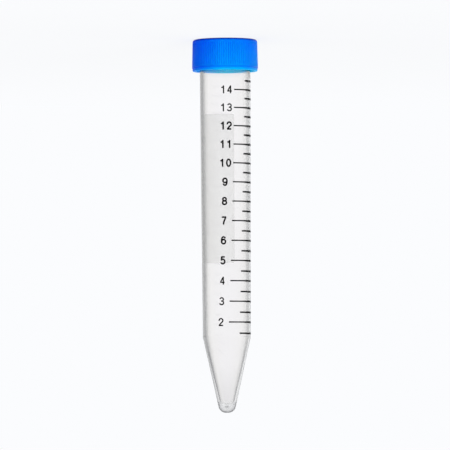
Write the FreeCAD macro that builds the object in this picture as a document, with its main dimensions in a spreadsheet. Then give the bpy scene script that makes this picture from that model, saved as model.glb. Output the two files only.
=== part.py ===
import FreeCAD, Part
import math
import os

import Sketcher

# A 15 ml conical centrifuge tube with its ribbed screw cap on, standing on its head, which is how it
# rests on a bench by itself: a conical tip can't stand, and on its side it rolls. Two mouldings: a clear
# tube and a one-piece cap. The cap is modelled as it stands, with heights measured from its flat top.
# The tube is modelled with heights measured from its tip, and is then turned over so that its mouth rim
# meets the cap's ceiling. The shared origin is under the middle of the cap's flat top, with +Z up
# towards the tip.

# Driving sizes in millimetres (ribs: a count).
SIZES = (
    # the tube, heights measured from its tip
    ("tube_length", 118.6, "tip to mouth rim"),
    ("cone_length", 24.1, "tip to the shoulder where the barrel starts"),
    ("neck_length", 9.6, "straight neck, down from the mouth rim"),
    ("neck_dia", 16.3, "outside of the neck and of the barrel's upper end"),
    ("shoulder_dia", 15.35, "outside of the barrel's lower end"),
    ("tip_dia", 4.66, "outside of the cone carried down to the tip's flat"),
    ("tip_round", 1.6, "radius round the tip's flat"),
    ("shoulder_round", 1.0, "radius of the outer shoulder"),
    ("mouth_wall", 0.65, "wall at the mouth rim"),
    ("shoulder_wall", 0.855, "wall at the shoulder"),
    ("bore_cone_top", 24.6, "tip to the inner shoulder"),
    ("floor_thickness", 2.35, "plastic under the inner floor"),
    ("floor_dia", 3.6, "inner cone carried down to the floor"),
    ("floor_round", 0.9, "radius round the inner floor"),
    ("dimple_dia", 1.0, "core pin's centre mark in the floor"),
    ("dimple_depth", 0.35, "depth of that mark"),
    ("rim_chamfer", 0.2, "chamfer on both edges of the mouth rim"),
    # the cap, whose ceiling seats on the mouth rim, heights measured from its flat top
    ("roof_thickness", 1.4, "flat top to ceiling"),
    ("skirt_depth", 8.8, "ceiling to the skirt's open edge"),
    ("thread_room", 1.0, "radial room for the thread between neck and skirt"),
    ("skirt_wall", 1.3, "wall of the skirt at the smooth band"),
    ("band_height", 0.9, "height of the smooth band at the skirt's open edge"),
    ("crest_step", 0.15, "rib crests over the smooth band"),
    ("crest_taper", 0.2, "how far the crests come in from the band to the flat top"),
    ("rib_open_end", 1.5, "skirt's open edge to the near end of the grooves"),
    ("rib_top_end", 1.0, "flat top to the near end of the grooves"),
    ("corner_round", 0.8, "radius round the flat top"),
    ("ribs", 90, "number of ribs round the cap"),
    ("rib_height", 0.25, "rib crest to groove floor"),
    ("groove_width", 0.34, "width of the groove between two ribs"),
    ("seal_length", 2.0, "plug seal's reach into the mouth"),
    ("seal_wall", 0.8, "wall of the plug seal at the ceiling"),
    ("seal_gap", 0.1, "radial clearance of the seal in the mouth"),
)

# Sizes that follow from those above, as formulas of the sheet.
DERIVED = (
    ("mouth_bore", "=neck_dia - 2 * mouth_wall", "bore at the mouth rim"),
    ("shoulder_bore", "=shoulder_dia - 2 * shoulder_wall", "bore at the inner shoulder"),
    ("skirt_bore", "=neck_dia + 2 * thread_room", "bore of the skirt over the thread"),
    ("band_dia", "=skirt_bore + 2 * skirt_wall", "outside of the smooth band"),
    ("crest_band_dia", "=band_dia + 2 * crest_step", "over the rib crests at the band"),
    ("crest_top_dia", "=crest_band_dia - 2 * crest_taper", "over the rib crests carried to the flat top"),
    ("seal_dia", "=mouth_bore - 2 * seal_gap", "outside of the plug seal"),
    ("skirt_edge", "=roof_thickness + skirt_depth", "flat top to the skirt's open edge"),
    ("band_top", "=skirt_edge - band_height", "flat top to the step at the smooth band"),
    ("overall_length", "=tube_length + roof_thickness", "flat top to the tip"),
)


def make_sheet(doc):
    """The sheet of sizes: name, value or formula, and meaning, each value with its name as alias."""
    sheet = doc.addObject("Spreadsheet::Sheet", "Sizes")
    for row, (alias, value, meaning) in enumerate(SIZES + DERIVED, start=1):
        sheet.set(f"A{row}", alias)
        sheet.set(f"B{row}", str(value))
        sheet.setAlias(f"B{row}", alias)
        sheet.set(f"C{row}", meaning)
        doc.recompute()
    return sheet


def origin_part(body, role):
    """One of the body's own origin planes or axes."""
    return next(item for item in body.Origin.OriginFeatures if item.Role == role)


def outline_sketch(body, sheet, name, corners):
    """A closed outline in the body's XZ plane through corners (radius, height, rounding).

    Radius and height are expressions, and a radius of None puts the corner on the axis. The rounding
    names the size that rounds the corner, or is left out at a sharp one.
    """
    sketch = body.newObject("Sketcher::SketchObject", name)
    sketch.AttachmentSupport = [(origin_part(body, "XZ_Plane"), "")]
    sketch.MapMode = "FlatFace"
    count = len(corners)
    turns = [2 * math.pi * index / count for index in range(count)]
    starts = [FreeCAD.Vector(10 + math.cos(turn), math.sin(turn), 0) for turn in turns]
    for index in range(count):
        sketch.addGeometry(Part.LineSegment(starts[index], starts[(index + 1) % count]))
    for index in range(count):
        sketch.addConstraint(Sketcher.Constraint("Coincident", index, 2, (index + 1) % count, 1))
    for index, (radius, height, *_) in enumerate(corners):
        if radius is None:
            sketch.addConstraint(Sketcher.Constraint("PointOnObject", index, 1, -2))
        else:
            bind(sketch, Sketcher.Constraint("DistanceX", -1, 1, index, 1, starts[index].x), radius)
        bind(sketch, Sketcher.Constraint("DistanceY", -1, 1, index, 1, starts[index].y), height)
    body.Document.recompute()
    for index, (_, _, *rounding) in enumerate(corners):
        for size in rounding:
            round_corner(sketch, sheet, (index - 1) % count, index, size)
    return sketch


def bind(sketch, constraint, expression):
    """Adds a dimension to the sketch and ties it to an expression on the sheet."""
    number = sketch.addConstraint(constraint)
    sketch.setExpression(f"Constraints[{number}]", expression)


def round_corner(sketch, sheet, before, after, size):
    """Rounds the corner between two lines by the named size, and keeps the corner's own dimensions."""
    radius = getattr(sheet, size)
    middles = [sketch.Geometry[line].value(0.5 * sketch.Geometry[line].length()) for line in (before, after)]
    arc = sketch.GeometryCount
    sketch.fillet(before, after, middles[0], middles[1], radius, True, True)
    bind(sketch, Sketcher.Constraint("Radius", arc, radius), f"Sizes.{size}")


def revolve(body, sketch, name):
    """A full turn of the sketch about the body's axis."""
    feature = body.newObject("PartDesign::Revolution", name)
    feature.Profile = sketch
    feature.ReferenceAxis = (sketch, ["V_Axis"])
    feature.Angle = 360
    sketch.Visibility = False
    body.Document.recompute()
    return feature


def make_tube(doc, sheet):
    """The clear tube: a slightly tapering barrel on a cone, one wall from mouth to tip, tip up."""
    body = doc.addObject("PartDesign::Body", "Tube")
    body.Label = "tube"
    wall = outline_sketch(
        body,
        sheet,
        "TubeWall",
        (
            (None, "0"),
            ("Sizes.tip_dia / 2", "0", "tip_round"),
            ("Sizes.shoulder_dia / 2", "Sizes.cone_length", "shoulder_round"),
            ("Sizes.neck_dia / 2", "Sizes.tube_length - Sizes.neck_length"),
            ("Sizes.neck_dia / 2", "Sizes.tube_length - Sizes.rim_chamfer"),
            ("Sizes.neck_dia / 2 - Sizes.rim_chamfer", "Sizes.tube_length"),
            ("Sizes.mouth_bore / 2 + Sizes.rim_chamfer", "Sizes.tube_length"),
            ("Sizes.mouth_bore / 2", "Sizes.tube_length - Sizes.rim_chamfer"),
            ("Sizes.shoulder_bore / 2", "Sizes.bore_cone_top"),
            ("Sizes.floor_dia / 2", "Sizes.floor_thickness", "floor_round"),
            ("Sizes.dimple_dia / 2", "Sizes.floor_thickness"),
            (None, "Sizes.floor_thickness - Sizes.dimple_depth"),
        ),
    )
    revolve(body, wall, "TubeTurned")
    body.Placement = FreeCAD.Placement(FreeCAD.Vector(), FreeCAD.Rotation(FreeCAD.Vector(0, 1, 0), 180))
    body.setExpression(".Placement.Base.z", "Sizes.overall_length * 1 mm")
    return body


def make_cap(doc, sheet):
    """The one-piece screw cap on its flat top: ribbed skirt, smooth band, and plug seal inside."""
    body = doc.addObject("PartDesign::Body", "Cap")
    body.Label = "cap"
    shell = outline_sketch(
        body,
        sheet,
        "CapShell",
        (
            (None, "0"),
            ("Sizes.crest_top_dia / 2", "0", "corner_round"),
            ("Sizes.crest_band_dia / 2", "Sizes.band_top"),
            ("Sizes.band_dia / 2", "Sizes.band_top"),
            ("Sizes.band_dia / 2", "Sizes.skirt_edge"),
            ("Sizes.skirt_bore / 2", "Sizes.skirt_edge"),
            ("Sizes.skirt_bore / 2", "Sizes.roof_thickness"),
            ("Sizes.seal_dia / 2", "Sizes.roof_thickness"),
            ("Sizes.seal_dia / 2", "Sizes.roof_thickness + Sizes.seal_length"),
            ("Sizes.seal_dia / 2 - Sizes.seal_wall", "Sizes.roof_thickness + Sizes.seal_length"),
            ("Sizes.seal_dia / 2 - Sizes.seal_wall", "Sizes.roof_thickness"),
            (None, "Sizes.roof_thickness"),
        ),
    )
    revolve(body, shell, "CapTurned")
    cut_grooves(body, sheet)
    return body


def cut_grooves(body, sheet):
    """Cuts the grooves that leave the ribs: one across the XZ plane, repeated round the axis.

    A groove's floor follows the skirt's taper. It starts a little off the band and ends just short of
    the rounded corner of the flat top.
    """
    flare = "(Sizes.crest_band_dia - Sizes.crest_top_dia) / 2 / Sizes.band_top"
    floor_at_top = "Sizes.crest_top_dia / 2 - Sizes.rib_height"
    open_end = "(Sizes.skirt_edge - Sizes.rib_open_end)"
    outside = "Sizes.crest_band_dia"
    side = outline_sketch(
        body,
        sheet,
        "GrooveSide",
        (
            (f"{floor_at_top} + {flare} * Sizes.rib_top_end", "Sizes.rib_top_end"),
            (outside, "Sizes.rib_top_end"),
            (outside, open_end),
            (f"{floor_at_top} + {flare} * {open_end}", open_end),
        ),
    )
    turned = body.Tip.Shape.Volume
    groove = body.newObject("PartDesign::Pocket", "Groove")
    groove.Profile = side
    groove.SideType = "Symmetric"
    groove.setExpression("Length", "Sizes.groove_width")
    side.Visibility = False
    body.Document.recompute()
    one_groove = turned - groove.Shape.Volume
    pattern = body.newObject("PartDesign::PolarPattern", "Ribs")
    pattern.Originals = [groove]
    pattern.Axis = (origin_part(body, "Z_Axis"), [""])
    pattern.Angle = 360
    pattern.setExpression("Occurrences", "Sizes.ribs")
    body.Tip = pattern
    body.Document.recompute()
    all_grooves = turned - pattern.Shape.Volume
    if one_groove <= 0 or all_grooves < 0.9 * sheet.ribs * one_groove:
        raise RuntimeError("the grooves didn't cut the cap")


def check(doc, bodies):
    """Stops at anything that failed to build."""
    for item in doc.Objects:
        if {"Invalid", "Error"} & set(item.State):
            raise RuntimeError(f"{item.Name} failed: {item.State}")
    for body in bodies:
        if body.Shape.isNull() or not body.Shape.isValid() or len(body.Shape.Solids) != 1:
            raise RuntimeError(f"{body.Label} isn't one valid solid")


def main():
    doc = FreeCAD.newDocument("ConicalTube")
    sheet = make_sheet(doc)
    bodies = [make_tube(doc, sheet), make_cap(doc, sheet)]
    doc.recompute()
    check(doc, bodies)
    os.makedirs("parts", exist_ok=True)
    for body in bodies:
        body.Shape.exportStep(f"parts/{body.Label}.step")
        box = body.Shape.BoundBox
        print(body.Label, round(body.Shape.Volume, 2), "mm3", box)


main()
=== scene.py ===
import math

import bpy
import numpy as np
from mathutils import Matrix, Vector
from mathutils.geometry import delaunay_2d_cdt


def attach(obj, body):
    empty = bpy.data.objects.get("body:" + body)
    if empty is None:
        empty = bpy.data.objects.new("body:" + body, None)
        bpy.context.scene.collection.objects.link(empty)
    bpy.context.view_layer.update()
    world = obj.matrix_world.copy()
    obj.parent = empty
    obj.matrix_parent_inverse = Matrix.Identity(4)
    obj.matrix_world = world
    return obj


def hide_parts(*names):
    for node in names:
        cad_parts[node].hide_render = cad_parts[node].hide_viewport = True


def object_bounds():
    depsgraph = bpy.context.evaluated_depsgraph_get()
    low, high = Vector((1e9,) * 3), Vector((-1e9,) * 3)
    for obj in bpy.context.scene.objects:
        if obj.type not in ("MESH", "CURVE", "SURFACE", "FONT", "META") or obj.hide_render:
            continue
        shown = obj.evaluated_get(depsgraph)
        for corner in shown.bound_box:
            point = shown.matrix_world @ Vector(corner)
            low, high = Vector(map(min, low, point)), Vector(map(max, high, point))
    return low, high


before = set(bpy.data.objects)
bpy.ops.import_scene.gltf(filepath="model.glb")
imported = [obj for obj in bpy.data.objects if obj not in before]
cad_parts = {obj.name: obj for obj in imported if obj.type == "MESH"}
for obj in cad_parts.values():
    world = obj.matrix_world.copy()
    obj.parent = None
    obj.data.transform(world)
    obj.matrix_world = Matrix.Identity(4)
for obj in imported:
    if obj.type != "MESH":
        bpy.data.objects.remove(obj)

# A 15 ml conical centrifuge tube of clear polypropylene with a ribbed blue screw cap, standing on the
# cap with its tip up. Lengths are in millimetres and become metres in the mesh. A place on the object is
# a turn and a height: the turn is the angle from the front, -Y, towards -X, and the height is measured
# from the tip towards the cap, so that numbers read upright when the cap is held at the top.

CAD_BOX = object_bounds()

MM = 0.001
LENGTH = (CAD_BOX[1].z - CAD_BOX[0].z) / MM  # flat top of the cap to the tip

# tube
SHOULDER = 24.1
NECK_START = 109.0
RIM = 118.6
NECK_RADIUS = 8.15
SHOULDER_RADIUS = 7.675
RIM_BORE = 7.5
SHOULDER_BORE = 6.82
BORE_CONE_TOP = 24.6
TIP_RADIUS = 2.33
FLOOR_RADIUS = 1.8
FLOOR = 2.35
GATE_RADIUS, GATE_BOTTOM, GATE_DEPTH = 0.5, 0.36, 0.5  # the gate mark's dimple in that floor
TUBE_COLUMNS = 224

# cap
CAP_EDGE = 109.8
CEILING = RIM
BAND_TOP = 110.7
BAND_RADIUS = 10.45
CREST_BAND = 10.6
CREST_TOP = 10.4
SKIRT_BORE = 9.15
EDGE_ROUNDING = 0.2  # inside the skirt's open edge
SEAL_OUT = 7.4
SEAL_IN = 6.6
SEAL_END = 116.6
RIBS = 90
COLUMNS_PER_RIB = 8
RIB_HEIGHT = 0.25
RIB_LOW, RIB_HIGH = 111.3, 119.0
GROOVE_END = 0.35  # run over which a groove sinks in at each end
GROOVE_LIFT, GROOVE_SLOPE = 1.25, 1.9  # share of full depth: the lift less the slope times the rib's wave

# screw thread, right-handed
PITCH = 3.0
THREAD_START = 111.6
THREAD_FADE = 0.09  # share of a turn over which a ridge rises at each end


# ---- meshes ----


def add_piece(name, points, faces, material, body, slot=None):
    """Makes a smooth-shaded mesh at the origin from points in mm and faces, and sets what it rides on."""
    mesh = bpy.data.meshes.new(name)
    mesh.from_pydata((np.asarray(points) * MM).tolist(), [], faces)
    mesh.validate()
    mesh.shade_smooth()
    mesh.materials.append(material)
    piece = bpy.data.objects.new(name, mesh)
    bpy.context.scene.collection.objects.link(piece)
    if body:
        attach(piece, body)
    return piece


def place(turn, height, radius):
    """Points in mm, each at a turn in radians from the front, a height above the tip, and a radius."""
    return np.stack(
        np.broadcast_arrays(-radius * np.sin(turn), -radius * np.cos(turn), LENGTH - height), axis=-1
    )


TIGHT_ROUNDING = 0.15  # widest rounding that takes fewer rows
TIGHT_POINTS = 3
HOLD = 0.05


def outline(corners, arc_points=5):
    """Rows (radius, height) along a section with rounded corners.

    A corner is (radius, height, rounding, step). Its rounding is the radius of an arc tangent to both
    runs that meet there, and the run to the next corner is cut into pieces no longer than its step. A
    row HOLD inside each end of a run keeps the smooth shading flat along it. A tight rounding takes
    TIGHT_POINTS rows, and a wider one arc_points.
    """
    spots = np.array([corner[:2] for corner in corners], float)
    rows = [spots[0]]
    starts = []
    for index in range(1, len(corners) - 1):
        spot, rounding = spots[index], corners[index][2]
        back, ahead = spots[index - 1] - spot, spots[index + 1] - spot
        back, ahead = back / np.linalg.norm(back), ahead / np.linalg.norm(ahead)
        half = math.acos(np.clip(back @ ahead, -1, 1)) / 2
        reach = rounding / math.tan(half)
        middle = (back + ahead) / np.linalg.norm(back + ahead)
        centre = spot + middle * rounding / math.sin(half)
        count = arc_points if rounding > TIGHT_ROUNDING else TIGHT_POINTS
        sweep = (math.pi / 2 - half) * np.linspace(-1, 1, count)
        side = (ahead - middle * (ahead @ middle)) / math.sin(half)
        arc = centre + rounding * (-np.cos(sweep)[:, None] * middle + np.sin(sweep)[:, None] * side)
        starts.append((spot + back * reach, spot + ahead * reach, arc))
    ends = [spots[0]] + [start[1] for start in starts]
    nexts = [start[0] for start in starts] + [spots[-1]]
    for index, (begin, stop) in enumerate(zip(ends, nexts)):
        run = np.linalg.norm(stop - begin)
        inset = min(HOLD, run / 4)
        pieces = max(1, math.ceil((run - 2 * inset) / corners[index][3]))
        shares = inset / run + (1 - 2 * inset / run) * np.linspace(0, 1, pieces + 1)
        rows.extend(begin + (stop - begin) * share for share in shares)
        if index < len(starts):
            rows.extend(starts[index][2])
    rows.append(spots[-1])
    return np.array(rows)


def turned(name, rows, radii, material, body, slot):
    """A closed skin turned about the axis.

    radii has a row for each row of the section and a column for each turn. The first and last rows lie
    on the axis and close as one point each.
    """
    count, columns = radii.shape
    turn = np.linspace(0, 2 * math.pi, columns, endpoint=False)
    rings = place(turn[None, :], rows[1:-1, 1:2], radii[1:-1])
    poles = place(0.0, rows[[0, -1], 1], np.zeros(2))
    points = np.concatenate([poles[:1], rings.reshape(-1, 3), poles[1:]])
    here = 1 + np.arange((count - 3) * columns).reshape(count - 3, columns)
    beside = np.roll(here, -1, axis=1)
    quads = np.stack([here, beside, beside + columns, here + columns], axis=-1).reshape(-1, 4)
    first = 1 + np.arange(columns)
    last = first + (count - 3) * columns
    fans = [
        np.stack([np.zeros_like(first), np.roll(first, -1), first], axis=-1),
        np.stack([last, np.roll(last, -1), np.full_like(last, len(points) - 1)], axis=-1),
    ]
    faces = quads.tolist() + np.concatenate(fans).tolist()
    return add_piece(name, points, faces, material, body, slot)


def helix_ridge(turn, height, start, turns, tall, crest, base):
    """How far a screw thread stands out at each place.

    The ridge's middle climbs one pitch a turn from start. Its section is a trapezoid of half-widths
    crest and base with smoothed flanks, tall in the middle, and it fades in and out at its ends.
    """
    total = np.zeros(np.broadcast(turn, height).shape)
    for lap in range(math.ceil(turns) + 1):
        wound = turn / (2 * math.pi) + lap
        off = np.abs(height - start - PITCH * wound)
        flank = np.clip((base - off) / (base - crest), 0, 1)
        run = np.clip(np.minimum(wound, turns - wound) / THREAD_FADE, 0, 1)
        total = np.maximum(total, smooth(flank) * smooth(run))
    return tall * total


def smooth(share):
    """Eases a share from 0 to 1 with level ends: three squares less two cubes."""
    return share * share * (3 - 2 * share)


def barrel_radius(height):
    """Outside radius of the wall between shoulder and neck, which tapers evenly."""
    share = np.clip((height - SHOULDER) / (NECK_START - SHOULDER), 0, 1)
    return SHOULDER_RADIUS + (NECK_RADIUS - SHOULDER_RADIUS) * share


def make_tube(material):
    """The tube: its section turned about the axis, with a ridge wound round the neck as its thread."""
    rows = outline(
        (
            (0, 0, 0, 1),
            (TIP_RADIUS, 0, 2.45, 2),
            (SHOULDER_RADIUS, SHOULDER, 1.0, 4),
            (NECK_RADIUS, NECK_START, 0.3, 0.14),
            (NECK_RADIUS, RIM, 0.2, 0.4),
            (RIM_BORE, RIM, 0.2, 4),
            (SHOULDER_BORE, BORE_CONE_TOP, 1.0, 2),
            (FLOOR_RADIUS, FLOOR, 1.45, 0.3),
            (GATE_RADIUS, FLOOR, 0.1, 0.2),
            (GATE_BOTTOM, FLOOR - GATE_DEPTH, 0.25, 0.2),
            (0, FLOOR - GATE_DEPTH, 0, 1),
        ),
        arc_points=9,
    )
    turn = np.linspace(0, 2 * math.pi, TUBE_COLUMNS, endpoint=False)[None, :]
    radius, height = rows[:, :1], rows[:, 1:2]
    outside = radius > (NECK_RADIUS + RIM_BORE) / 2
    ridge = helix_ridge(turn, height, THREAD_START, turns=1.75, tall=0.78, crest=0.25, base=0.75)
    radii = radius + np.where(outside, ridge, 0)
    return turned("tube_wall", rows, radii, material, "tube", "clear_plastic")


def make_cap(material):
    """The cap: its section turned about the axis, ribs round the skirt and a thread inside it.

    The grooves between the ribs follow a wave, the size of the cosine of half the turn times the number of
    ribs, which is 1 on a crest and 0 in the middle of a groove. Their depth is kept on the mesh as a share
    from 0 to 1, for the material's painted shade in the grooves.
    """
    rows = outline(
        (
            (0, CEILING, 0, 3),
            (SEAL_IN, CEILING, 0.1, 1),
            (SEAL_IN, SEAL_END, 0.2, 0.5),
            (SEAL_OUT, SEAL_END, 0.2, 1),
            (SEAL_OUT, CEILING, 0.1, 1),
            (SKIRT_BORE, CEILING, 0.1, 0.2),
            (SKIRT_BORE, CAP_EDGE, EDGE_ROUNDING, 1),
            (BAND_RADIUS, CAP_EDGE, 0.22, 1),
            (BAND_RADIUS, BAND_TOP, 0.06, 1),
            (CREST_BAND, BAND_TOP, 0.06, 0.35),
            (CREST_TOP, LENGTH, 0.9, 3),
            (0, LENGTH, 0, 1),
        )
    )
    turn = np.linspace(0, 2 * math.pi, RIBS * COLUMNS_PER_RIB, endpoint=False)[None, :]
    radius, height = rows[:, :1], rows[:, 1:2]
    skirt = (radius > (SKIRT_BORE + BAND_RADIUS) / 2) & (height > BAND_TOP)
    wave = np.abs(np.cos(turn * RIBS / 2))
    groove = smooth(np.clip(GROOVE_LIFT - GROOVE_SLOPE * wave, 0, 1))
    ends = np.minimum(height - RIB_LOW, RIB_HIGH - height) / GROOVE_END
    depth = RIB_HEIGHT * groove * smooth(np.clip(ends, 0, 1))
    inside = np.isclose(radius, SKIRT_BORE, atol=0.01) & (height < CEILING)
    start = THREAD_START - PITCH / 2
    ridge = helix_ridge(turn, height, start, turns=2.0, tall=0.5, crest=0.2, base=0.65)
    radii = radius - np.where(skirt, depth, 0) - np.where(inside, ridge, 0)
    cap = turned("screw_cap", rows, radii, material, "cap", "blue_plastic")
    shares = np.where(skirt, depth / RIB_HEIGHT, 0)[1:-1].ravel()
    cap.data.attributes.new("groove", "FLOAT", "POINT").data.foreach_set("value", [0, *shares, 0])
    return cap


# ---- print ----

PATCH_GAP = 0.012
PATCH_THICKNESS = 0.02
INK_GAP = PATCH_GAP + PATCH_THICKNESS
INK_THICKNESS = 0.03


def volume_height(volume):
    """Height above the tip of the line for a volume in ml.

    From the 2 ml line, the first millilitre takes about 6.7 mm, and each one after it 0.08 mm less than
    the one before, because the bore widens.
    """
    over = volume - 2
    return 28.97 + 6.699 * over - 0.0407 * over**2


def line_start(height):
    """Turn in radians where the long line at this height starts.

    The print leans by 0.31 degrees a millimetre from the 2 ml line up, and bows back a little.
    """
    above = height - volume_height(2)
    return math.radians(5.45 + 0.3114 * above - 0.001474 * above**2)


def arc(x, y, wide, tall, start, stop, points=25):
    """Points on part of an ellipse, angles in degrees from the right, anticlockwise."""
    angle = np.radians(np.linspace(start, stop, points))
    return np.stack([x + wide * np.cos(angle), y + tall * np.sin(angle)], axis=-1)


def digit_strokes(digit):
    """Middle lines of a plain bold figure's strokes, in a box one wide and one tall."""
    six = [arc(0.5, 0.31, 0.5, 0.31, 0, 360), np.vstack([[(0, 0.3)], arc(0.5, 0.56, 0.5, 0.44, 180, 28)])]
    return {
        "0": [arc(0.5, 0.5, 0.48, 0.5, 0, 360)],
        "1": [[(0.66, -0.08), (0.66, 1.08)], [(0.62, 0.97), (0.46, 0.82), (0.1, 0.76)]],
        "2": [
            np.vstack([arc(0.5, 0.71, 0.48, 0.29, 188, -32), [(0.5, 0.34), (0.06, 0.04)]]),
            [(-0.1, 0), (1.05, 0)],
        ],
        "3": [
            np.vstack([arc(0.5, 0.755, 0.44, 0.245, 165, -90), [(0.34, 0.51)]]),
            np.vstack([[(0.34, 0.53)], arc(0.48, 0.265, 0.5, 0.265, 90, -168)]),
        ],
        "4": [[(0.74, -0.08), (0.74, 1.08)], [(0.7, 1.0), (0.02, 0.28)], [(-0.1, 0.26), (1.08, 0.26)]],
        "5": [
            [(0.1, 1), (0.98, 1)],
            [(0.2, 1.05), (0.08, 0.46)],
            np.vstack([[(0.1, 0.52)], arc(0.46, 0.33, 0.5, 0.33, 135, -160)]),
        ],
        "6": six,
        "7": [[(-0.08, 1), (1.04, 1)], [(0.98, 1.0), (0.66, 0.62), (0.44, 0.3), (0.36, -0.08)]],
        "8": [arc(0.5, 0.755, 0.42, 0.245, 0, 360), arc(0.5, 0.27, 0.5, 0.27, 0, 360)],
        "9": [1 - stroke for stroke in six],
    }[digit]


SHARPEST_MITRE = 0.5  # least cosine of half the bend at a point that its mitre follows


def stroke_faces(middle, width):
    """Four-cornered faces that follow a middle line, half the width to each side of it.

    At each point the sides stand off along the mitre of the two runs that meet there, at most by the
    width itself where they meet sharply. The width is one number, or one for each point.
    """
    middle = np.asarray(middle, float)
    run = np.diff(middle, axis=0)
    run /= np.linalg.norm(run, axis=1)[:, None]
    closed = np.allclose(middle[0], middle[-1])
    before = np.vstack([run[-1:] if closed else run[:1], run])
    after = np.vstack([run, run[:1] if closed else run[-1:]])
    along = before + after
    along /= np.linalg.norm(along, axis=1)[:, None]
    off = np.stack([-along[:, 1], along[:, 0]], axis=-1) * (np.ones(len(middle)) * width / 2)[:, None]
    off /= np.maximum(SHARPEST_MITRE, np.sum(along * after, axis=1))[:, None]
    left, right = middle + off, middle - off
    return [np.array([right[k], right[k + 1], left[k + 1], left[k]]) for k in range(len(run))]


WELD = 1e-5  # mm within which points become one


def film(shapes, spacing):
    """Triangles that fill the union of some flat shapes, no side longer than about the spacing."""
    corners = np.concatenate(shapes)
    low, high = corners.min(0), corners.max(0)
    counts = np.ceil((high - low) / spacing).astype(int) + 1
    across, along = np.meshgrid(*(np.linspace(low[k], high[k], counts[k]) for k in (0, 1)))
    loose = np.stack([across.ravel(), along.ravel()], axis=-1)
    ends = np.cumsum([0] + [len(shape) for shape in shapes])
    faces = [list(range(ends[k], ends[k + 1])) for k in range(len(shapes))]
    spots = [Vector(spot) for spot in np.concatenate([corners, loose])]
    spots, _, triangles, _, _, within = delaunay_2d_cdt(spots, [], faces, 0, WELD, True)
    triangles = np.array([triangle for triangle, shape in zip(triangles, within) if shape])
    used, triangles = np.unique(triangles, return_inverse=True)
    return np.array([tuple(spot) for spot in spots])[used], triangles.reshape(-1, 3)


def wrapped(flat, triangles, turn, height, gap, thickness):
    """A thin closed layer on the wall from a flat film in mm.

    Across becomes an arc of the wall from the turn, and up becomes height. Both sides follow the wall's
    radius, and each free edge gets a rim.
    """
    heights = height + flat[:, 1]
    wall = barrel_radius(heights)
    turns = turn + flat[:, 0] / wall
    sides = [place(turns, heights, wall + off) for off in (gap, gap + thickness)]
    size = len(flat)
    edges = np.concatenate([triangles[:, [0, 1]], triangles[:, [1, 2]], triangles[:, [2, 0]]])
    known = set(map(tuple, edges.tolist()))
    rim = np.array([edge for edge in known if edge[::-1] not in known])
    rims = np.stack([rim[:, 0], rim[:, 1], rim[:, 1] + size, rim[:, 0] + size], axis=-1)
    faces = (triangles + size).tolist() + triangles[:, ::-1].tolist() + rims.tolist()
    return np.concatenate(sides), faces


def joined(parts):
    """Several point and face lists as one."""
    points, faces, shift = [], [], 0
    for spots, sides in parts:
        points.append(spots)
        faces.extend([[corner + shift for corner in side] for side in sides])
        shift += len(spots)
    return np.concatenate(points), faces


HALVES = range(3, 30)  # half millilitres that have a line, from 1.5 to 14.5 ml
LONG_ARC = math.radians(85)
LINE_POINTS = 26
SHORT_TURN, SHORT_LEAN = 32.4, 0.229  # degrees where the 1.5 ml line starts, and more for each mm up
SHORT_DROP, SHORT_RISE = 0.25, 0.011  # mm towards the tip, and back for each half millilitre
LINE_SPACING, DIGIT_SPACING, PATCH_SPACING = 0.5, 0.3, 0.9
LINE_TURNS = np.radians((5, 18, 30, 45, 56, 75))
LONG_WIDTH = (0.46, 0.41, 0.39, 0.43, 0.54, 0.61)
SHORT_WIDTH = (0.5, 0.49, 0.49, 0.49, 0.55, 0.6)
DIGIT_WIDTH, DIGIT_HEIGHT = 1.25, 2.2
HEAVY_STROKE, LIGHT_STROKE = 0.51, 0.41
DIGIT_PITCH = 2.15
FIELD_MIDDLE = 2.55  # middle of the numbers, left of where the long lines start
PATCH_LOW, PATCH_HIGH = 47.9, 95.65
PATCH_RIGHT, PATCH_ARC = math.radians(20), math.radians(92)
PATCH_CORNER = 0.5


def make_lines(material):
    """The scale's lines: a long one at each millilitre and a short one near halfway between.

    A line's width changes with the turn, by the tables above: the print gets heavier round the side. The
    short lines end where the long ones do, and they are printed a little off halfway: up to 0.22 mm
    towards the tip at the lowest and 0.07 mm towards the cap at the highest.
    """
    parts = []
    for halves in HALVES:
        height = volume_height(halves / 2)
        start, widths = line_start(height), LONG_WIDTH
        stop = start + LONG_ARC
        if halves % 2:
            start = math.radians(SHORT_TURN + SHORT_LEAN * (height - volume_height(1.5)))
            height += SHORT_RISE * halves - SHORT_DROP
            widths = SHORT_WIDTH
        wall = float(barrel_radius(height))
        across = np.linspace(0, (stop - start) * wall, LINE_POINTS)
        middle = np.stack([across, np.zeros(LINE_POINTS)], axis=-1)
        width = np.interp(start + across / wall, LINE_TURNS, widths)
        flat = film(stroke_faces(middle, width), LINE_SPACING)
        parts.append(wrapped(*flat, start, height, INK_GAP, INK_THICKNESS))
    return add_piece("scale_lines", *joined(parts), material, "tube")


def make_numbers(material):
    """The scale's numbers from 2 to 14, each centred to the left of its line.

    Those on the writing patch print heavier than those on bare wall.
    """
    parts = []
    for number in range(2, 15):
        height = volume_height(number)
        turn = line_start(height) - FIELD_MIDDLE / float(barrel_radius(height))
        text = str(number)
        width = HEAVY_STROKE if PATCH_LOW < height < PATCH_HIGH else LIGHT_STROKE
        shapes = []
        for index, digit in enumerate(text):
            left = DIGIT_PITCH * (index - (len(text) - 1) / 2) - DIGIT_WIDTH / 2
            for stroke in digit_strokes(digit):
                middle = np.asarray(stroke) * (DIGIT_WIDTH, DIGIT_HEIGHT) + (left, -DIGIT_HEIGHT / 2)
                shapes.extend(stroke_faces(middle, width))
        flat = film(shapes, DIGIT_SPACING)
        parts.append(wrapped(*flat, turn, height, INK_GAP, INK_THICKNESS))
    return add_piece("scale_numbers", *joined(parts), material, "tube")


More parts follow.
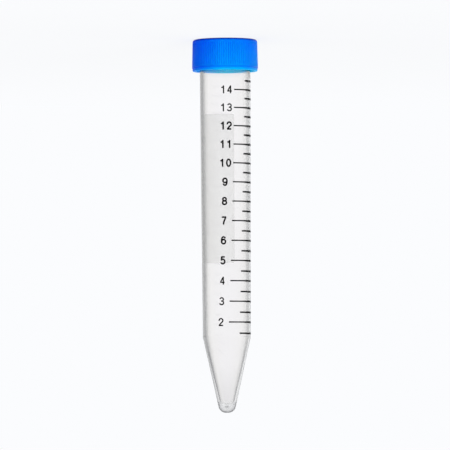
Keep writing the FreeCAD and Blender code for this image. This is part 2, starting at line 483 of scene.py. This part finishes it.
def make_patch(material):
    """The writing patch: a rounded oblong film of white ink on the wall, left of the scale."""
    tall = PATCH_HIGH - PATCH_LOW
    wide = PATCH_ARC * float(barrel_radius((PATCH_LOW + PATCH_HIGH) / 2))
    corner = PATCH_CORNER
    middles = (
        (-corner, corner, 270),
        (-corner, tall - corner, 0),
        (corner - wide, tall - corner, 90),
        (corner - wide, corner, 180),
    )
    shape = np.concatenate([arc(x, y, corner, corner, start, start + 90, 5) for x, y, start in middles])
    flat = film([shape], PATCH_SPACING)
    layer = wrapped(*flat, PATCH_RIGHT, PATCH_LOW, PATCH_GAP, PATCH_THICKNESS)
    return add_piece("writing_patch", *layer, material, "tube")


# ---- materials ----


def linear(code):
    """Linear colour with full alpha from an sRGB hex code."""
    parts = [int(code[k : k + 2], 16) / 255 for k in (1, 3, 5)]
    return tuple(p / 12.92 if p <= 0.04045 else ((p + 0.055) / 1.055) ** 2.4 for p in parts) + (1.0,)


def node(tree, kind, inputs=None, **settings):
    """Adds a node, sets its properties, and gives each input a value or the output that feeds it."""
    made = tree.nodes.new(kind)
    for name, value in settings.items():
        setattr(made, name, value)
    for name, value in (inputs or {}).items():
        if isinstance(value, bpy.types.NodeSocket):
            tree.links.new(value, made.inputs[name])
        else:
            made.inputs[name].default_value = value
    return made


def start_material(name):
    """An empty material and its node tree."""
    material = bpy.data.materials.new(name)
    material.use_nodes = True
    material.node_tree.nodes.clear()
    return material, material.node_tree


def ramp(tree, factor, stops):
    """A colour ramp from (place, sRGB hex code) stops."""
    made = node(tree, "ShaderNodeValToRGB", {"Fac": factor})
    band = made.color_ramp
    while len(band.elements) < len(stops):
        band.elements.new(0.5)
    for element, (spot, code) in zip(band.elements, stops):
        element.position, element.color = spot, linear(code)
    return made.outputs["Color"]


def ranged(tree, value, low, high, bottom=0.0, top=1.0, eased=False):
    """A value from low to high made one from bottom to top, and held at those beyond them."""
    ends = {"From Min": low, "From Max": high, "To Min": bottom, "To Max": top}
    ease = "SMOOTHSTEP" if eased else "LINEAR"
    made = node(tree, "ShaderNodeMapRange", {"Value": value, **ends}, interpolation_type=ease)
    return made.outputs["Result"]


def mixed(tree, factor, first, second):
    """The first colour turned into the second by a factor."""
    return node(tree, "ShaderNodeMix", {"Factor": factor, 6: first, 7: second}, data_type="RGBA").outputs[2]


def multiplied(tree, first, second):
    """Two colours multiplied."""
    inputs = {"Factor": 1.0, 6: first, 7: second}
    return node(tree, "ShaderNodeMix", inputs, data_type="RGBA", blend_type="MULTIPLY").outputs[2]


def maths(tree, operation, first, second):
    """Two numbers put together by a Math node."""
    return node(tree, "ShaderNodeMath", {0: first, 1: second}, operation=operation).outputs["Value"]


def shader_mix(tree, factor, first, second):
    """The first shader mixed into the second by a factor."""
    return node(tree, "ShaderNodeMixShader", {0: factor, 1: first, 2: second}).outputs["Shader"]


def own_place(tree):
    """The place in metres on the object's own coordinates."""
    return node(tree, "ShaderNodeTexCoord").outputs["Object"]


def axis_of(tree, spot, axis):
    """One coordinate of a place."""
    return node(tree, "ShaderNodeSeparateXYZ", {"Vector": spot}).outputs[axis]


def distance(tree, spot, point):
    """Distance between a place and a fixed point."""
    return node(tree, "ShaderNodeVectorMath", {0: spot, 1: point}, operation="DISTANCE").outputs["Value"]


def noise(tree, size_mm, detail, stretch=(1, 1, 1)):
    """Noise with features of about this size in mm, on the piece's own coordinates."""
    inputs = {"Vector": own_place(tree), "Scale": stretch}
    scaled = node(tree, "ShaderNodeMapping", inputs).outputs["Vector"]
    inputs = {"Vector": scaled, "Scale": 1 / (size_mm * MM), "Detail": detail}
    return node(tree, "ShaderNodeTexNoise", inputs).outputs["Fac"]


def from_tip(height):
    """Place along the axis, in metres up from the ground, of a height in mm above the tip."""
    return (LENGTH - height) * MM


# Tints of the clear wall, from 0 where it faces the eye to 1 where the eye grazes it: for light that goes
# into the plastic, for light inside it that meets its surface in the barrel and in the cone, and for the
# solid tip. All four are painted shade: grey bands set by the angle of view, not by the light round the
# object.
ENTERING_PAINTED_SHADE = (
    (0.0, "#fffefe"),
    (0.3, "#fefdfc"),
    (0.35, "#fcfbfa"),
    (0.41, "#f8f7f6"),
    (0.46, "#f4f3f2"),
    (0.56, "#eeeeed"),
    (0.66, "#ededec"),
    (0.74, "#f5f5f5"),
    (1.0, "#fafafa"),
)
TURNED_BACK_PAINTED_SHADE = (
    (0.18, "#ffffff"),
    (0.2, "#f4f4f4"),
    (0.225, "#e0e0e0"),
    (0.25, "#cbcbcb"),
    (0.28, "#d3d3d3"),
    (0.31, "#f8f8f8"),
    (0.36, "#ffffff"),
)
CONE_BACK_PAINTED_SHADE = (
    (0.19, "#ffffff"),
    (0.23, "#ececec"),
    (0.255, "#bcbcbe"),
    (0.275, "#a4a4a6"),
    (0.3, "#bcbcbe"),
    (0.335, "#f8f8f8"),
)
SOLID_TIP_PAINTED_SHADE = ((0.0, "#ffffff"), (0.2, "#fdfdfd"), (0.35, "#f0f0f1"), (0.6, "#bebec0"), (1.0, "#a8a8aa"))

# Painted shade: the cone a little darker down towards the tip, from 0 at the shoulder to 1 at the tip.
TIPWARD_PAINTED_SHADE = ((0.35, "#ffffff"), (1.0, "#f6f6f6"))

NO_TINT = "#ffffff"
GATE_TINT = "#d0d0d1"
CONE_BLEND = 5  # way below the shoulder over which the cone's own tint comes in
TIP_FROM, TIP_FULL = 4.2, 2.8  # heights between which the solid tip's look comes in
BORE_END, BORE_END_REACH = 3.3, 2.9  # height of the middle of a ball round the bore's end, and its radius
GATE_DARK, GATE_CLEAR = 0.35, 0.75  # ways from the middle of the floor between which the mark fades
POLISH = (0.04, 0.09)  # least and most roughness
TIP_ROUGHNESS, TIP_MILK = 0.3, 0.15


def clear_polypropylene():
    """Clear polypropylene, injection-moulded and polished inside and out: bright through the middle of the
    barrel and faintly hazy, with painted shade that greys it where the eye grazes its walls, inside and
    out.

    The solid tip is rougher and a little milky. It starts outside a ball round the end of the bore, so
    that the bore's own wall stays clear. The gate mark is a small grey spot on the floor of the bore.
    """
    material, tree = start_material("clear_polypropylene")
    graze = node(tree, "ShaderNodeLayerWeight", {"Blend": 0.5}).outputs["Facing"]
    spot = own_place(tree)
    height = axis_of(tree, spot, "Z")
    near_tip = ranged(tree, height, from_tip(TIP_FROM), from_tip(TIP_FULL), eased=True)
    reach = distance(tree, spot, (0, 0, from_tip(BORE_END)))
    at_tip = maths(tree, "MULTIPLY", near_tip, maths(tree, "GREATER_THAN", reach, BORE_END_REACH * MM))
    down_cone = ranged(tree, height, from_tip(SHOULDER), from_tip(0))
    # Painted shade: the outside of the wall greys where the eye grazes it and a little towards the tip, and
    # the solid tip greys more.
    front = multiplied(tree, ramp(tree, graze, ENTERING_PAINTED_SHADE), ramp(tree, down_cone, TIPWARD_PAINTED_SHADE))
    outer = mixed(tree, at_tip, front, ramp(tree, graze, SOLID_TIP_PAINTED_SHADE))
    on_cone = ranged(tree, height, from_tip(SHOULDER), from_tip(SHOULDER - CONE_BLEND))
    # Painted shade on the inside of the wall, darkest just short of where the eye grazes it, and darker in
    # the cone.
    back = mixed(tree, on_cone, ramp(tree, graze, TURNED_BACK_PAINTED_SHADE), ramp(tree, graze, CONE_BACK_PAINTED_SHADE))
    inner = mixed(tree, near_tip, back, linear(NO_TINT))
    inside = node(tree, "ShaderNodeNewGeometry").outputs["Backfacing"]
    wall = mixed(tree, inside, outer, inner)
    off_gate = distance(tree, spot, (0, 0, from_tip(FLOOR)))
    away = ranged(tree, off_gate, GATE_DARK * MM, GATE_CLEAR * MM, eased=True)
    tint = mixed(tree, away, linear(GATE_TINT), wall)
    haze = noise(tree, 6.0, 3.0, (1, 1, 0.35))
    polish = ranged(tree, haze, 0.0, 1.0, *POLISH)
    rough = node(tree, "ShaderNodeMix", {"Factor": near_tip, 2: polish, 3: TIP_ROUGHNESS}).outputs[0]
    inputs = {"Color": tint, "Roughness": rough, "IOR": 1.49}
    clear = node(tree, "ShaderNodeBsdfGlass", inputs).outputs["BSDF"]
    milk = node(tree, "ShaderNodeBsdfTranslucent", {"Color": linear("#f4f4f4")}).outputs["BSDF"]
    plastic = shader_mix(tree, maths(tree, "MULTIPLY", at_tip, TIP_MILK), clear, milk)
    lamp_side = node(tree, "ShaderNodeBsdfTransparent", {"Color": linear("#fdfdfd")}).outputs["BSDF"]
    lamps = node(tree, "ShaderNodeLightPath").outputs["Is Shadow Ray"]
    surface = shader_mix(tree, lamps, plastic, lamp_side)
    inputs = {"Color": linear("#808080"), "Density": 55.0}
    depth = node(tree, "ShaderNodeVolumeAbsorption", inputs).outputs["Volume"]
    node(tree, "ShaderNodeOutputMaterial", {"Surface": surface, "Volume": depth})
    return material


# Colours of the cap from 0 at its flat top to 1 at its open edge, outside and inside the skirt. Blue,
# growing a little paler down the skirt, with painted shade at the top corner and in a line just above the
# band below the ribs, and a painted glow that makes the open edge and the inside of the skirt paler.
OUTER_SKIRT_SHADE_AND_GLOW = (
    (0.0, "#0020a4"),
    (0.035, "#0030c4"),
    (0.055, "#0078ff"),
    (0.12, "#0088ff"),
    (0.5, "#0094ff"),
    (0.85, "#009aff"),
    (0.875, "#0084fa"),
    (0.91, "#0080f4"),
    (0.93, "#009cff"),
    (1.0, "#04bcff"),
)
INNER_SKIRT_GLOW = ((0.45, "#0078f4"), (0.8, "#08c0ff"), (1.0, "#10d6ff"))

# Painted shade from a rib's crest to the floor of a groove, painted shade that deepens the blue across the
# cap along X, and the tone of the flow marks.
GROOVE_PAINTED_SHADE = ((0.0, "#ffffff"), (1.0, "#f0d0f8"))
ACROSS_CAP_PAINTED_SHADE = (
    (0.0, "#ffecff"),
    (0.14, "#ffecff"),
    (0.25, "#ffffff"),
    (0.57, "#ffffff"),
    (0.69, "#ffe2ff"),
    (0.8, "#ffccff"),
    (0.9, "#ffbaff"),
    (1.0, "#ffb0ff"),
)
FLOW_MARKS = ((0.3, "#f6f6f8"), (0.7, "#ffffff"))
SATIN = (0.34, 0.46)  # least and most roughness


def blue_polyethylene():
    """Blue high-density polyethylene, injection-moulded with a satin finish; light sinks in a little, so
    its shadows stay blue. Its colour holds painted light and shade: a painted glow that makes the thin open
    edge and the inside of the skirt paler, painted shade at the top corner, in a line above the band and in
    the grooves, and painted shade that makes it deeper blue to one side, away from the key light."""
    material, tree = start_material("blue_polyethylene")
    spot = own_place(tree)
    share = ranged(tree, axis_of(tree, spot, "Z"), 0.0, from_tip(CAP_EDGE))
    inputs = {0: spot, 1: (1, 1, 0)}
    flat = node(tree, "ShaderNodeVectorMath", inputs, operation="MULTIPLY").outputs["Vector"]
    radius = node(tree, "ShaderNodeVectorMath", {0: flat}, operation="LENGTH").outputs["Value"]
    within = ranged(tree, radius, BAND_RADIUS * MM, (SKIRT_BORE + EDGE_ROUNDING) * MM)
    # Painted shade at the top corner and above the band, and a painted glow at the open edge and inside the
    # skirt.
    skirt = mixed(tree, within, ramp(tree, share, OUTER_SKIRT_SHADE_AND_GLOW), ramp(tree, share, INNER_SKIRT_GLOW))
    groove = node(tree, "ShaderNodeAttribute", attribute_name="groove").outputs["Fac"]
    # Painted shade: the grooves darker than the crests.
    groove_shaded = multiplied(tree, skirt, ramp(tree, groove, GROOVE_PAINTED_SHADE))
    marked = multiplied(tree, groove_shaded, ramp(tree, noise(tree, 3.0, 3.0), FLOW_MARKS))
    # Painted shade: the blue deepens towards +X, the side away from the key light.
    across = ranged(tree, axis_of(tree, spot, "X"), -CREST_BAND * MM, CREST_BAND * MM)
    colour = multiplied(tree, marked, ramp(tree, across, ACROSS_CAP_PAINTED_SHADE))
    grain = noise(tree, 0.35, 2.0)
    inputs = {"Height": grain, "Strength": 0.15, "Distance": 0.03 * MM}
    bump = node(tree, "ShaderNodeBump", inputs).outputs["Normal"]
    inputs = {
        "Base Color": colour,
        "Roughness": ranged(tree, grain, 0.0, 1.0, *SATIN),
        "IOR": 1.52,
        "Normal": bump,
        "Subsurface Weight": 0.3,
        "Subsurface Radius": (0.05, 0.1, 0.3),
        "Subsurface Scale": 1.0 * MM,
        "Specular IOR Level": 0.03,
    }
    plastic = node(tree, "ShaderNodeBsdfPrincipled", inputs).outputs["BSDF"]
    node(tree, "ShaderNodeOutputMaterial", {"Surface": plastic})
    return material


def black_ink():
    """Black screen ink, printed and cured: flat, slightly uneven in density."""
    material, tree = start_material("black_ink")
    density = ramp(tree, noise(tree, 0.8, 3.0), ((0.3, "#000000"), (0.75, "#0a090b")))
    inputs = {"Base Color": density, "Roughness": 0.6, "Specular IOR Level": 0.04}
    ink = node(tree, "ShaderNodeBsdfPrincipled", inputs).outputs["BSDF"]
    node(tree, "ShaderNodeOutputMaterial", {"Surface": ink})
    return material


FILM_COVER = (0.2, 0.24)  # least and most alpha


def white_ink():
    """Thin white screen ink: a milky film that greys what is behind it."""
    material, tree = start_material("white_ink")
    density = ranged(tree, noise(tree, 1.2, 4.0), 0.0, 1.0, *FILM_COVER)
    inputs = {"Base Color": linear("#d6d6d4"), "Roughness": 0.7, "IOR": 1.5, "Alpha": density}
    ink = node(tree, "ShaderNodeBsdfPrincipled", inputs).outputs["BSDF"]
    node(tree, "ShaderNodeOutputMaterial", {"Surface": ink})
    return material


# ---- stage ----


def seen_share(tree):
    """1 for what the camera, gloss and clear plastic see, and 0 for rays that light the object."""
    path = node(tree, "ShaderNodeLightPath").outputs
    share = path["Is Camera Ray"]
    for other in ("Is Glossy Ray", "Is Transmission Ray"):
        share = maths(tree, "MAXIMUM", share, path[other])
    return share


BACKGROUND = "#fbfcfe"
SHADOW_NEAR, SHADOW_FAR = 0.03, 0.35  # m from the middle
GLOW_NEAR = 0.8  # share of even white within SHADOW_NEAR, which is whole from SHADOW_FAR on
FLOOR_REACH = 9000  # mm from the middle to each side
ROOM_STRENGTH = 0.25


def make_stage():
    """A pale floor that keeps a soft shadow round the cap and fades into even white, and a soft world.

    Light that bounces between the floor and the object sees a duller floor than the camera does.
    """
    material, tree = start_material("pale_floor")
    spot = own_place(tree)
    reach = node(tree, "ShaderNodeVectorMath", {0: spot}, operation="LENGTH").outputs["Value"]
    faded = ranged(tree, reach, SHADOW_NEAR, SHADOW_FAR, GLOW_NEAR, eased=True)
    share = maths(tree, "MULTIPLY", seen_share(tree), faded)
    pale = node(tree, "ShaderNodeBsdfDiffuse", {"Color": linear("#f6f7f8")}).outputs["BSDF"]
    dull = node(tree, "ShaderNodeBsdfDiffuse", {"Color": linear("#b8b9ba")}).outputs["BSDF"]
    bounce = node(tree, "ShaderNodeLightPath").outputs["Is Diffuse Ray"]
    lit = shader_mix(tree, bounce, pale, dull)
    glow = node(tree, "ShaderNodeEmission", {"Color": linear(BACKGROUND)}).outputs["Emission"]
    node(tree, "ShaderNodeOutputMaterial", {"Surface": shader_mix(tree, share, lit, glow)})
    corners = [(FLOOR_REACH * x, FLOOR_REACH * y, 0) for x, y in ((-1, -1), (1, -1), (1, 1), (-1, 1))]
    add_piece("floor", corners, [(0, 1, 2, 3)], material, None)
    world = bpy.data.worlds.new("soft_room")
    bpy.context.scene.world = world
    world.use_nodes = True
    tree = world.node_tree
    tree.nodes.clear()
    inputs = {"Color": (1, 1, 1, 1), "Strength": ROOM_STRENGTH}
    room = node(tree, "ShaderNodeBackground", inputs).outputs["Background"]
    inputs = {"Color": linear(BACKGROUND), "Strength": 1.0}
    white = node(tree, "ShaderNodeBackground", inputs).outputs["Background"]
    node(tree, "ShaderNodeOutputWorld", {"Surface": shader_mix(tree, seen_share(tree), room, white)})


# Soft lamps, each by name, place in m, width and height in m, and power in W. The side and low ones show
# in gloss and give the clear walls their bright side: the low one does so near the cap, where the floor
# hides the side light from the wall.
DIFFUSE_LAMPS = (
    ("key_light", (-0.3, -1.05, 0.42), (1.0, 1.0), 12.0),
    ("fill_light", (1.0, -0.5, 0.4), (1.0, 1.0), 3.0),
    ("top_light", (0.1, -0.1, 1.3), (1.0, 1.0), 4.0),
    ("back_light", (0.45, 0.95, 0.45), (1.0, 1.0), 5.0),
)
SIDE_LAMP = ("side_light", (-0.9, 0.62, 0.28), (1.1, 1.1), 5.4)
GLOSS_LAMP = ("low_light", (-0.148, 0.102, 0.021), (0.18, 0.042), 0.0337)


def add_lamp(name, spot, size, power, diffuse=True, glossy=False):
    """A soft light facing the middle of the object.

    With diffuse it lights matt surfaces, and with glossy it shows in gloss. The camera and clear plastic
    see the white room in its place.
    """
    light = bpy.data.lights.new(name, "AREA")
    light.shape = "RECTANGLE"
    light.size, light.size_y = size
    light.energy = power
    lamp = bpy.data.objects.new(name, light)
    bpy.context.scene.collection.objects.link(lamp)
    lamp.visible_camera = lamp.visible_transmission = False
    lamp.visible_glossy, lamp.visible_diffuse = glossy, diffuse
    lamp.location = spot
    aim = Vector((0, 0, LENGTH * MM / 2)) - Vector(spot)
    lamp.rotation_euler = aim.to_track_quat("-Z", "Y").to_euler()


def make_lamps():
    """All the lamps."""
    for lamp in DIFFUSE_LAMPS:
        add_lamp(*lamp)
    add_lamp(*SIDE_LAMP, glossy=True)
    add_lamp(*GLOSS_LAMP, diffuse=False, glossy=True)


VIEW_SIDE, VIEW_HEIGHT = 0.33, 60.33  # where the camera looks: mm beside the axis and above the tip
VIEW_DISTANCE = 1.74  # m
VIEW_TILT = math.radians(2.3)  # how far the camera looks down
VIEW_LEAN = math.radians(0.36)  # how far the view is turned in its own plane
VIEW_WIDTH = 144.68  # mm across the view at that distance
SENSOR = 36.0


def make_camera():
    """The camera, a long lens a little above the tube's middle, held with the cap at the top."""
    back = Vector((0, -math.cos(VIEW_TILT), math.sin(VIEW_TILT)))
    right = Vector((-1, 0, 0))
    up = back.cross(right)
    right, up = (
        math.cos(VIEW_LEAN) * right - math.sin(VIEW_LEAN) * up,
        math.sin(VIEW_LEAN) * right + math.cos(VIEW_LEAN) * up,
    )
    spot = Vector((VIEW_SIDE * MM, 0, from_tip(VIEW_HEIGHT))) + VIEW_DISTANCE * back
    lens = bpy.data.cameras.new("view")
    lens.sensor_width = SENSOR
    lens.lens = SENSOR * VIEW_DISTANCE / (VIEW_WIDTH * MM)
    camera = bpy.data.objects.new("view", lens)
    bpy.context.scene.collection.objects.link(camera)
    turn = Matrix((right, up, back)).transposed().to_4x4()
    camera.matrix_world = Matrix.Translation(spot) @ turn
    bpy.context.scene.camera = camera


# ---- the object ----

bpy.context.scene.view_settings.view_transform = "Standard"
make_camera()
make_stage()
make_lamps()

tube = make_tube(clear_polypropylene())
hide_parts("tube")
cap = make_cap(blue_polyethylene())
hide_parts("cap")
ink = black_ink()
make_lines(ink)
make_numbers(ink)
make_patch(white_ink())
